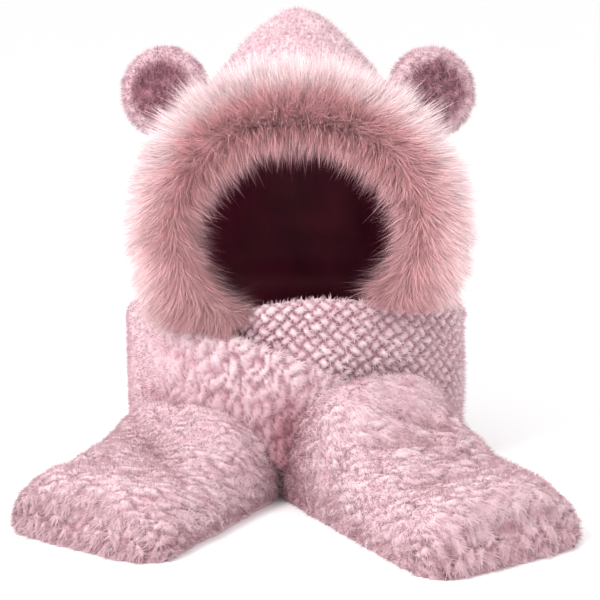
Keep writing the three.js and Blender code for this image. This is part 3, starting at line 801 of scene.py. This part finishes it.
def make_trim():
    steps, sides = 150, 44
    turn = np.linspace(TRIM_LEFT_END, TRIM_RIGHT_END, steps)
    middle, out = on_trim(turn)
    roll = np.radians(np.arange(sides) / sides * 360)
    side = FORWARD * np.cos(roll)[None, :, None] + out[:, None] * np.sin(roll)[None, :, None]
    s, t = turn[:, None] * TRIM_ARC + 0 * roll, roll[None] * 22 + 0 * turn[:, None]
    end = np.minimum(turn - turn[0], turn[-1] - turn)[:, None]
    radius = (BACKING_RADIUS + 2.5 * waves(s, t, 24.0, 4)) * np.sqrt(smooth(-3, 9, end))
    p = middle[:, None] + side * radius[..., None]
    tint = FUR_ROOT * (1.1 + 0.25 * waves(s, t, 12.0, 6)[..., None])
    points = p.reshape(-1, 3)
    faces = grid_faces(steps, sides, True)
    if faces_inward(faces, points, side):
        faces = faces[:, ::-1]
    make_mesh("fur_backing", points, [faces], tint.reshape(-1, 3), fur, ["fur_trim"])
    for coat in COATS:
        make_coat(*coat)


def make_coat(name, count, low_roll, high_roll, length, width):
    """One coat of hair. turn is the place along the trim and roll the place round it, 0 in front
    and 90 on the outside."""
    turn = rng.uniform(TRIM_LEFT_END, TRIM_RIGHT_END, count)
    roll = rng.uniform(low_roll, high_roll, count)
    middle, out = on_trim(turn)
    r = np.radians(roll)[:, None]
    n = FORWARD * np.cos(r) + out * np.sin(r)
    # hairs near each other share a lean, as locks do
    i = np.floor(turn * TRIM_ARC / LOCK_ALONG + 0.6 * np.sin(roll / 9.0))
    j = np.floor(roll / LOCK_ROUND)
    way, bend = coat_ways(turn, roll, n, out, i, j)
    guard = rng.random(count) < GUARD_SHARE
    reach = coat_lengths(turn, roll, length, guard, i, j)
    root = middle + n * rng.uniform(*ROOT_DEPTHS, count)[:, None]
    reach, stay = cut_at_scarf(root, way[:, 2] + bend[:, 2], reach)
    base, tip = coat_colours(turn, roll, chance(i, j, 7))
    level = 0.84 + 0.2 * chance(i, j, 6) + rng.normal(size=count) * 0.17 + GUARD_PALER * guard
    level = level[:, None]
    thick = width * rng.uniform(0.65, 1.25, count)
    hairs(name, root[stay], way[stay], bend[stay], reach[stay], thick[stay],
          (base * level)[stay], (tip * level)[stay], fur, 2, n[stay])


def coat_ways(turn, roll, n, out, i, j):
    """The way each hair starts and how it bends."""
    count = len(turn)
    tangent = np.cross(out, FORWARD)
    swing = (chance(i, j, 3) - 0.5) * 0.55
    swing = swing + 0.25 * waves(turn * TRIM_ARC, roll * 0.4, 45.0, 14)
    rise = (chance(i, j, 4) - 0.5) * 0.4
    # outwards from near the opening on, and into it before that
    flow = np.clip((roll + 78 + rng.normal(size=count) * 30) / 60, -1, 1)
    way = n * (0.95 - 0.3 * np.abs(flow))[:, None] + out * (0.55 * flow + rise * 0.6)[:, None]
    # down at the sides
    sides = np.abs(np.sin(np.radians(turn)))[:, None]
    way = way + tangent * swing[:, None] + np.array([0, 0, -0.42]) * sides
    # behind the rim the hairs lie back over the hood
    way = way - FORWARD * (0.9 * smooth(55, 120, roll))[:, None]
    # at both ends the inner hairs run on round the opening
    onward = np.sign(turn) * smooth(85, 130, np.abs(turn)) * smooth(0, -60, roll)
    way = way + tangent * (0.75 * onward)[:, None]
    way = unit(way + rng.normal(size=way.shape) * 0.12)
    bend = np.array([0, 0, -0.14]) + out * (0.15 * flow)[:, None]
    return way, bend + rng.normal(size=way.shape) * 0.1


def coat_lengths(turn, roll, length, guard, i, j):
    """Longer guard hairs, and longer hair at the right end, over the brow and in the opening."""
    reach = length * rng.uniform(0.6, 1.1, len(turn)) * (0.85 + 0.3 * chance(i, j, 5))
    reach = reach * np.where(guard, GUARD_LONGER, 1.0)
    reach = reach * (1 + 0.35 * smooth(70, 129, turn) * smooth(-20, -70, roll))
    reach = reach * (1 + 0.25 * smooth(80, 40, np.abs(turn)) * smooth(40, 90, roll))
    return reach * (1 + 0.2 * smooth(-40, -90, roll))


def cut_at_scarf(root, fall, reach):
    """No hair hangs over the scarf: its length, cut there, and whether it stays."""
    shortest = 4
    tip_level = root[:, 2] + fall * reach
    line = scarf_line(root[:, 0]) + rng.uniform(-6, 3, len(root))
    drop = np.maximum(root[:, 2] - tip_level, 1e-6)
    reach = reach * np.clip(np.where(tip_level < line, (root[:, 2] - line) / drop, 1), 0.0, 1)
    return reach, (reach > shortest) & (root[:, 2] > line)


def coat_colours(turn, roll, own):
    """Rose at the brow, dusky at both ends and dark in the opening, where the dark is painted
    shade: the root's and the tip's.
    """
    centre = 1 - smooth(12, 48, np.abs(roll + 4))
    brow = 0.55 + 0.45 * smooth(90, 20, np.abs(turn))
    dusk = smooth(95, 140, np.abs(turn))
    # painted shade in the opening, on the tips of the inner hairs
    inner = smooth(-66, -112, roll)[:, None]
    rose = 0.2 + 0.75 * centre * brow + 0.5 * dusk + 0.15 * own + 0.62 * smooth(5, -45, roll)
    rose = np.clip(rose, 0, 1)[:, None]
    tip = FUR_PALE + (FUR_ROSE - FUR_PALE) * rose
    tip = tip * (1 - np.array([0.58, 0.62, 0.55]) * inner)
    tip = tip * (1 - 0.34 * dusk[:, None] - 0.1 * smooth(40, 75, roll)[:, None])
    return FUR_ROOT + (FUR_PALE - FUR_ROOT) * (0.12 + 0.42 * (1 - rose)), tip


# Ears


def make_ear(side):
    half = EAR_THICK / 2
    # a round pad with a shallow bowl in front, as radius and height
    edge_steps, rings, columns = 15, 44, 96
    bulge = np.linspace(-math.pi / 2, math.pi / 2, edge_steps)
    profile = [(0.0, -half)] + [
        (EAR_RADIUS - half + half * math.cos(a) ** 0.9, half * math.sin(a)) for a in bulge
    ]
    profile += [(24.0, half - 2.0), (17.0, half - 4.5), (8.0, half - 5.0), (0.3, half - 5.2)]
    profile = np.array(profile)
    run = np.concatenate([[0], np.cumsum(np.hypot(*np.diff(profile, axis=0).T))])
    at = np.linspace(0.5, run[-1], rings)
    r, h = np.interp(at, run, profile[:, 0]), np.interp(at, run, profile[:, 1])
    a = 2 * math.pi * np.arange(columns) / columns
    local = np.stack([r[:, None] * np.cos(a), h[:, None] + 0 * a, r[:, None] * np.sin(a)], -1)
    lean, yaw = math.pi - math.radians(EAR_LEAN), side * math.radians(EAR_YAW)
    x, y, z = local[..., 0], local[..., 1], local[..., 2]
    y, z = y * math.cos(lean) - z * math.sin(lean), y * math.sin(lean) + z * math.cos(lean)
    x, y = x * math.cos(yaw) - y * math.sin(yaw), x * math.sin(yaw) + y * math.cos(yaw)
    centre = np.array([side * EAR_SPREAD, -EAR_FORWARD, EAR_LEVEL])
    p = np.stack([x, y, z], -1) + centre
    s, t = at[:, None] + 0 * a, a[None] * 30 + 0 * at[:, None]
    return p, s, t, centre, r[:, None] + 0 * a


def make_ears():
    for side, name in ((-1, "left"), (1, "right")):
        p, s, t, centre, radius = make_ear(side)
        bowl = smooth(EAR_RADIUS - 6, EAR_RADIUS - 17, radius) * (s > s.max() * 0.55)
        x, z = (p - centre)[..., 0], (p - centre)[..., 2]
        places = turned(*warped(x, z, 5.0, 61), -35 * side)
        field = tufts(*places, (6.5, 15.0), 20 + side, jitter=0.6)
        relief = 0.15 + (0.35 + 0.3 * side) * bowl
        # the bowl is painted darker mauve, a painted shade
        body = BODY_PINK + (EAR_BOWL_SHADE - BODY_PINK) * bowl[..., None]
        tip = TIP_PINK + (EAR_BOWL_SHADE * 1.35 - TIP_PINK) * (bowl * 0.8)[..., None]
        dressed("ear_" + name + "_plush", (p, p - centre, s, t), field, relief, True,
                ["ear_" + name, "ear_" + name + "_inner"], EAR_PILE, np.ones(s.shape), high=3.0,
                comb=(0, 0.1, -0.1), length=7.0, body=body, tip=tip, puff=0.4, soft=0.2)


# Pockets

# reach from the closed end to the tail's root, height as a share of the pocket's and width as a
# share of the tail's
POCKET_ROWS = {
    "left": np.array([
        (0, 0.28, 0.82), (0.025, 0.48, 0.92), (0.09, 0.62, 0.98), (0.25, 0.67, 1.0),
        (0.45, 0.7, 1.0), (0.62, 0.81, 1.0), (0.76, 1.0, 0.99), (1.0, 1.0, 0.98),
    ]),
    "right": np.array([
        (0, 0.22, 0.82), (0.025, 0.39, 0.92), (0.09, 0.5, 0.98), (0.28, 0.54, 1.0),
        (0.48, 0.6, 1.0), (0.65, 0.77, 1.0), (0.8, 1.0, 0.99), (1.0, 0.97, 0.98),
    ]),
}


def mouth_at(side, across):
    """How far along the tail from its root the pocket's mouth is, at distances across."""
    yaw = math.radians(TAILS[side]["yaw"])
    x0, y0 = on_tail(side, 0)
    layers = 2 * SCARF_THICK + LAYER_GAP + MOUTH_GAP
    a, b = NECK_HALF_WIDTH + layers, NECK_HALF_DEPTH + layers
    px, py = x0 + math.cos(yaw) * across, y0 + math.sin(yaw) * across
    dx, dy = math.sin(yaw), -math.cos(yaw)
    qa = (dx / a) ** 2 + (dy / b) ** 2
    qb = px * dx / a**2 + py * dy / b**2
    qc = (px / a) ** 2 + (py / b) ** 2 - 1
    return (-qb + np.sqrt(np.maximum(qb * qb - qa * qc, 0))) / qa


# Dents in the pockets: where, along the tail and across it, which way the dent runs, in degrees
# from across the tail, its length, its width and its depth
DENTS = {
    "left": [(92, -6, 30, 44, 15, 9.0), (150, 14, -20, 34, 7, 5.0), (138, -50, 15, 26, 9, 5.0)],
    "right": [(106, -8, 12, 34, 8, 8.0), (88, 24, 24, 32, 9, 7.0), (134, 26, -14, 38, 8, 7.0),
              (165, -30, 20, 32, 9, 5.0)],
}


def dent(side, along, across):
    """How deep the pocket is pressed in at a place."""
    depth = 0.0
    for place, aside, angle, size, narrow, deep in DENTS[side]:
        ca, sa = math.cos(math.radians(angle)), math.sin(math.radians(angle))
        da, dc = along - place, across - aside
        run, over = dc * ca + da * sa, da * ca - dc * sa
        depth = depth + deep * np.exp(-((run / size) ** 2) - (over / narrow) ** 2)
    return depth


# the pocket's grid: columns over its arch, and rows of the outside, the closed end, the rim and
# the inside
ARCH, OUTSIDE_ROWS, END_ROWS, RIM_ROWS, INSIDE_ROWS = 130, 104, 12, 8, 16
# how far the closed end bulges, and how much the foot draws in
END_BULGE, FOOT_DRAWN = 7, 0.04


def pocket_grid(side):
    """The pocket's points from the closed end over the rim to the inside."""
    tail = TAILS[side]
    reach, yaw = tail["reach"], math.radians(tail["yaw"])
    table = POCKET_ROWS[side]
    turn = math.pi * np.arange(ARCH + 1) / ARCH
    x0, y0 = on_tail(side, 0)
    lowest = 0.4

    def surface(u, turn, inset, sink=0.0, bulge=0.0):
        """u runs from the closed end, 0, to the mouth, 1."""
        cross = np.sign(np.cos(turn)) * np.abs(np.cos(turn)) ** 0.75
        mouth = mouth_at(side, (TAIL_WIDTH / 2 - inset) * cross)
        along = reach - inset - u * (reach - inset - mouth)
        share = 1 - (along + inset) / reach
        half = curve(table[:, 0], table[:, 2], share) * TAIL_WIDTH / 2 - inset
        top = curve(table[:, 0], table[:, 1], share) * tail["peak"] - inset
        across = half * cross
        rise = lowest + (top - lowest) * np.sin(turn) ** 0.85 * (1 - sink)
        rise = rise - dent(side, along, across) * smooth(10, 25, rise)
        along = along + bulge * (0.3 + 0.7 * np.sin(turn))
        across = across * (1 - FOOT_DRAWN * (1 - smooth(0, 0.35, np.sin(turn))))
        x = x0 + math.sin(yaw) * along + math.cos(yaw) * across
        y = y0 - math.cos(yaw) * along + math.sin(yaw) * across
        return np.stack([x, y, rise], -1)

    def closing(share):
        angle = share * math.pi / 2
        return surface(still, turn, 0, 1 - math.cos(angle), END_BULGE * math.sin(angle))

    def turning_in(angle):
        inset = POCKET_WALL * (1 - math.cos(angle)) / 2
        return surface(1 + still, turn, inset) + back * math.sin(angle)

    still = 0 * turn
    closed = [closing(share) for share in np.linspace(1, 0, END_ROWS, endpoint=False)]
    u = np.linspace(0, 1, OUTSIDE_ROWS)[:, None]
    outside = surface(u + still, turn + 0 * u, 0.0)
    back = np.array([-math.sin(yaw), math.cos(yaw), 0]) * POCKET_WALL / 2
    lip = [turning_in(angle) for angle in np.linspace(0, math.pi, RIM_ROWS)[1:]]
    u = np.linspace(1, 0.12, INSIDE_ROWS)[1:, None]
    inside = surface(u + still, turn + 0 * u, POCKET_WALL)
    return np.concatenate([np.stack(closed), outside, np.stack(lip), inside])


def make_pocket(side):
    tail = TAILS[side]
    yaw = math.radians(tail["yaw"])
    p = pocket_grid(side)
    steps = np.linalg.norm(np.diff(p, axis=0), axis=-1)
    s = np.concatenate([np.zeros((1, ARCH + 1)), np.cumsum(steps, 0)])
    wide_steps = np.linalg.norm(np.diff(p, axis=1), axis=-1)
    t = np.concatenate([np.zeros((len(p), 1)), np.cumsum(wide_steps, 1)], 1)
    t = t - t[:, ARCH // 2][:, None]
    below = -30.0
    out = p - np.array([*on_tail(side, 0.5), below])
    out[END_ROWS + OUTSIDE_ROWS + RIM_ROWS // 2:] *= -1
    # slanting rows, and clumps at the closed end
    slant, warp_seed, row_seed = (22, 63, 31) if side == "left" else (-22, 67, 37)
    places = warped(s, t, 6.0, warp_seed)
    rows = tufts(*turned(*places, slant), (8.5, 25.0), row_seed, jitter=0.75)
    clumps = tufts(*places, (19.0, 13.0), 41, jitter=0.85)
    near_end = 1 - smooth(26, 34, s + 5 * waves(s, t, 40.0, 3))
    field = blended(near_end, rows, clumps)
    top = smooth(0.62, 0.9, p[..., 2] / tail["peak"])
    relief = 0.42 - 0.34 * top + 0.5 * (1 - smooth(20, 60, s)) + 0.55 * waves(s, t, 40.0, 15)
    relief = np.clip(relief, 0.05, 1.3)
    shown = np.ones(s.shape)
    shown[END_ROWS + OUTSIDE_ROWS + RIM_ROWS:] = 0.05
    keep = shown * smooth(0.5, 4, p[..., 2])
    # painted shade: darker at the closed end, at the foot and in the dents
    x0, y0 = on_tail(side, 0)
    dx, dy = p[..., 0] - x0, p[..., 1] - y0
    along = dx * math.sin(yaw) - dy * math.cos(yaw)
    across = dx * math.cos(yaw) + dy * math.sin(yaw)
    pressed = dent(side, along, across) * smooth(10, 25, p[..., 2])
    low = 1 - smooth(4, 30, p[..., 2])
    shade = (0.84 + 0.19 * smooth(14, 70, s)) * (1 - 0.1 * low) * (1 - 0.03 * pressed)
    dressed("pocket_" + side + "_plush", (p, out, s, t), field, relief, False, ["pocket_" + side],
            POCKET_PILE, keep, high=4.2, comb=(-0.45, 0, -0.1), length=7.0, puff=2.4,
            shade=shade, soft=0.3)


make_scarf()
make_hood()
make_lining()
make_trim()
make_ears()
make_pocket("left")
make_pocket("right")

# Floor, lights and camera, in metres

FLOOR_SIZE, FLOOR_WHITE, FLOOR_ROUGHNESS = 120, 0.93, 0.8
STUDIO_LIGHT = 1.06
LIGHT_AIM = Vector((0, 0, 0.2))
# name, place, size and power
LIGHTS = [
    ("key", (-1.3, -1.2, 1.7), 0.8, 46),
    ("fill", (1.4, -1.3, 1.1), 1.2, 10),
]
CAMERA_LENS, CAMERA_SENSOR, CAMERA_SHIFT = 88.44, 36.0, 0.0033
CAMERA_DISTANCE, CAMERA_HEIGHT, CAMERA_DOWN = 1.45, 0.48, 12.4


def make_floor():
    bpy.ops.mesh.primitive_plane_add(size=FLOOR_SIZE)
    floor = bpy.context.object
    floor.name = "floor"
    material = bpy.data.materials.new("floor_white")
    material.use_nodes = True
    shader = material.node_tree.nodes["Principled BSDF"]
    shader.inputs["Base Color"].default_value = (FLOOR_WHITE, FLOOR_WHITE, FLOOR_WHITE, 1)
    shader.inputs["Roughness"].default_value = FLOOR_ROUGHNESS
    floor.data.materials.append(material)


def light_studio():
    world = bpy.data.worlds.new("studio")
    bpy.context.scene.world = world
    world.use_nodes = True
    background = world.node_tree.nodes["Background"]
    background.inputs["Color"].default_value = (1, 1, 1, 1)
    background.inputs["Strength"].default_value = STUDIO_LIGHT
    for name, place, size, power in LIGHTS:
        data = bpy.data.lights.new(name, "AREA")
        data.shape = "SQUARE"
        data.size = size
        data.energy = power
        lamp = bpy.data.objects.new(name, data)
        lamp.location = place
        lamp.rotation_euler = (LIGHT_AIM - Vector(place)).to_track_quat("-Z", "Y").to_euler()
        bpy.context.scene.collection.objects.link(lamp)


def place_camera():
    data = bpy.data.cameras.new("camera")
    data.lens = CAMERA_LENS
    data.sensor_width = CAMERA_SENSOR
    data.shift_x = CAMERA_SHIFT
    camera = bpy.data.objects.new("camera", data)
    camera.location = (ORIGIN[0], ORIGIN[1] - CAMERA_DISTANCE, CAMERA_HEIGHT)
    camera.rotation_euler = (math.radians(90 - CAMERA_DOWN), 0, 0)
    bpy.context.scene.collection.objects.link(camera)
    bpy.context.scene.camera = camera


make_floor()
light_studio()
place_camera()
bpy.context.scene.view_settings.view_transform = "Standard"
